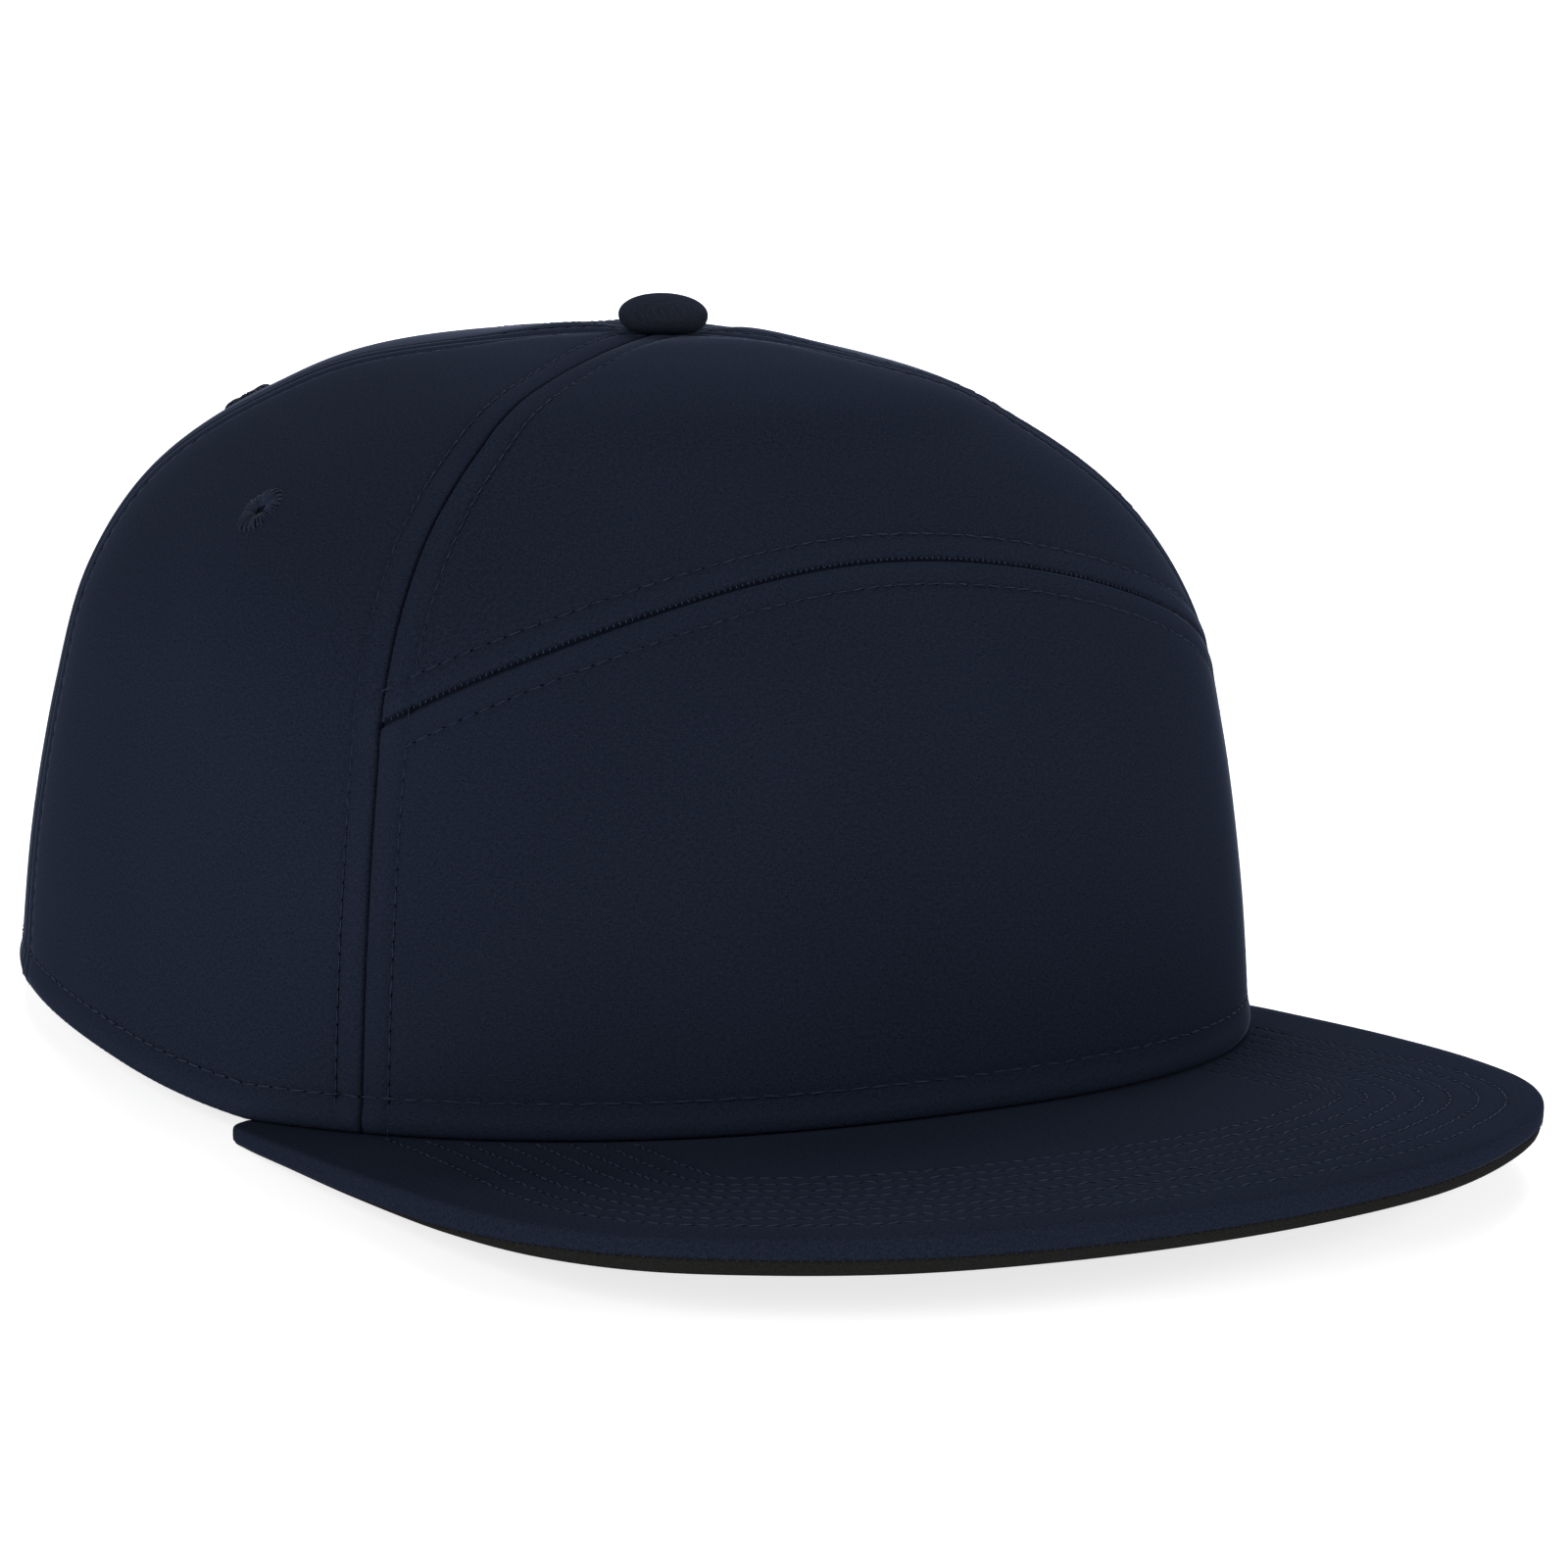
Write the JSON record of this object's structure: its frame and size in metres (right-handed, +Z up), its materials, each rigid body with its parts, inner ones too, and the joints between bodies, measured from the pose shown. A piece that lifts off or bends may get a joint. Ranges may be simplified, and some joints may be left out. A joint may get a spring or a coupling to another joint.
{
  "type": "flat-billed snapback cap",
  "caption": "Navy cloth snapback cap with a high structured crown, an arched seam over the brow, a covered button, vent eyelets and a flat stitched bill.",
  "frame": {"origin": "middle of the cap seen from above, on the surface it rests on", "axes": "+Z up, -Y towards the front of the bill, +X towards the wearer's left"},
  "size_m": [0.172, 0.259, 0.1109],
  "materials": {
    "navy_cloth": "fine woven twill with a soft sheen",
    "charcoal_cloth": "flat weave, matt",
    "navy_thread": "satin-stitched thread",
    "navy_plastic": "moulded, semi-matt"
  },
  "bodies": {
    "root": {"front_panel": "navy_cloth", "upper_front_panel": "navy_cloth", "side_panel_right": "navy_cloth", "side_panel_left": "navy_cloth", "back_panel_right": "navy_cloth", "back_panel_left": "navy_cloth", "eyelet_side_right": "navy_thread", "eyelet_side_left": "navy_thread", "eyelet_back_right": "navy_thread", "eyelet_back_left": "navy_thread", "button": "navy_cloth", "bill_top": "navy_cloth", "bill_underside": "charcoal_cloth", "snap_strap": "navy_plastic"}
  },
  "joints": []
}
